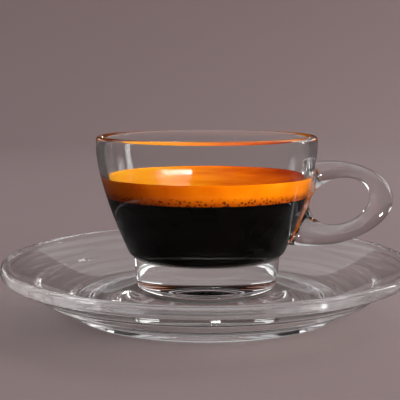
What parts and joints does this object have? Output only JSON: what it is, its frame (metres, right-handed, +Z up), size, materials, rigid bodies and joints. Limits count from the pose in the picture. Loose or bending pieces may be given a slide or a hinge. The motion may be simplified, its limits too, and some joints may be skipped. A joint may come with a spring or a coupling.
{
  "type": "espresso shot",
  "caption": "Espresso with a thick golden crema in a clear glass handled cup, standing on its clear glass saucer.",
  "frame": {"origin": "centre of the saucer's foot ring, on the surface it stands on, under the cup's axis", "axes": "+Z up along the axis of the cup and saucer, +X towards the cup's handle"},
  "size_m": [0.1214, 0.1214, 0.0513],
  "materials": {
    "saucer_glass": "clear pressed glass, fire polished",
    "cup_glass": "clear pressed glass, fire polished",
    "coffee": "dark brown espresso, almost black",
    "crema": "wet golden orange foam, fine bubbled at its lower edge"
  },
  "bodies": {
    "root": {"saucer": "saucer_glass", "cup": "cup_glass", "coffee": "coffee", "crema": "crema"}
  },
  "joints": []
}
